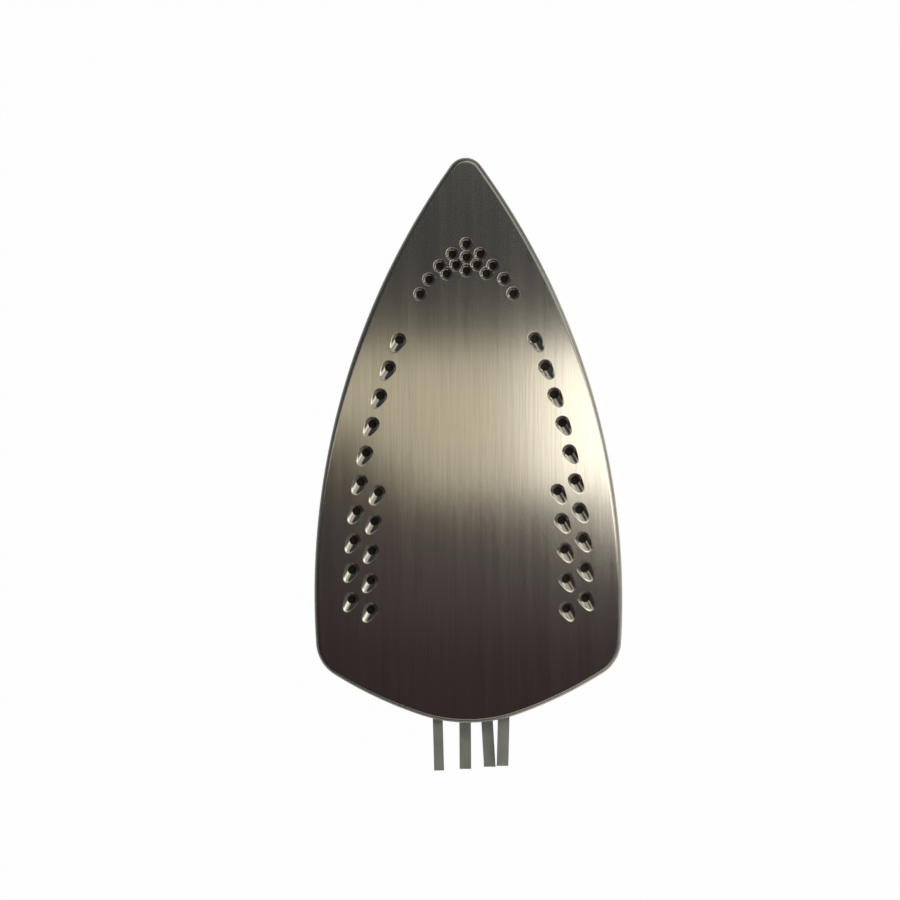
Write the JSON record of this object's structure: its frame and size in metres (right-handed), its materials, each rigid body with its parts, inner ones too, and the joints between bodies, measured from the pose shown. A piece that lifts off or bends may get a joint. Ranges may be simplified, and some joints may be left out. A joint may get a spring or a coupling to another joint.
{
  "type": "steam iron soleplate",
  "caption": "Pointed steam iron soleplate: brushed steel skin with dimpled steam holes on a cast body that holds the heater, steam chamber and heat regulator, with flat tabs at the rear.",
  "frame": {"origin": "middle of the overall box, on the plane that the front stud and the rear posts stand on", "axes": "+Z out of the sole face, +Y towards the tip, connection tabs towards -Y"},
  "size_m": [0.1172, 0.2338, 0.0346],
  "materials": {
    "brushed_sole": "brushed lengthwise",
    "cast_body": "as cast",
    "heater_sheath": "oxidised",
    "ceramic": "unglazed",
    "tab_steel": "dull nickel plate",
    "zinc_steel": "zinc plate",
    "stamped_steel": "rolled sheet",
    "silicone": "moulded silicone",
    "spring_bronze": "rolled strip",
    "silver": "bright",
    "brass": "turned"
  },
  "bodies": {
    "plate": {"sole_skin": "brushed_sole", "heater_casting": "cast_body", "heater_tube": "heater_sheath", "left_end_bead": "ceramic", "right_end_bead": "ceramic", "left_cold_pin": "tab_steel", "right_cold_pin": "tab_steel", "left_heater_tab": "tab_steel", "right_heater_tab": "tab_steel", "front_stud": "zinc_steel", "steam_cover": "stamped_steel", "cover_gasket": "silicone", "cover_screws": "zinc_steel", "water_inlet_seal": "silicone", "thermostat_base": "stamped_steel", "bimetal_strip": "spring_bronze", "striker_pin": "ceramic", "lower_insulator": "ceramic", "middle_insulator": "ceramic", "upper_insulator": "ceramic", "load_tab": "tab_steel", "live_tab": "tab_steel", "fixed_blade": "spring_bronze", "moving_blade": "spring_bronze", "fixed_contact": "silver", "moving_contact": "silver", "stack_rivet": "zinc_steel", "spindle_bridge": "stamped_steel", "spindle_bush": "brass", "push_pin": "ceramic", "thermostat_screws": "zinc_steel", "earth_tab": "tab_steel", "earth_screw": "zinc_steel"},
    "adjuster": {"spindle": "zinc_steel"}
  },
  "joints": [
    {"name": "spindle_turn", "type": "hinge", "parent": "plate", "child": "adjuster", "pos_m": [0.0027, -0.0271, 0.008], "axis": [0, 0, 1], "range_deg": [0, 280]}
  ]
}
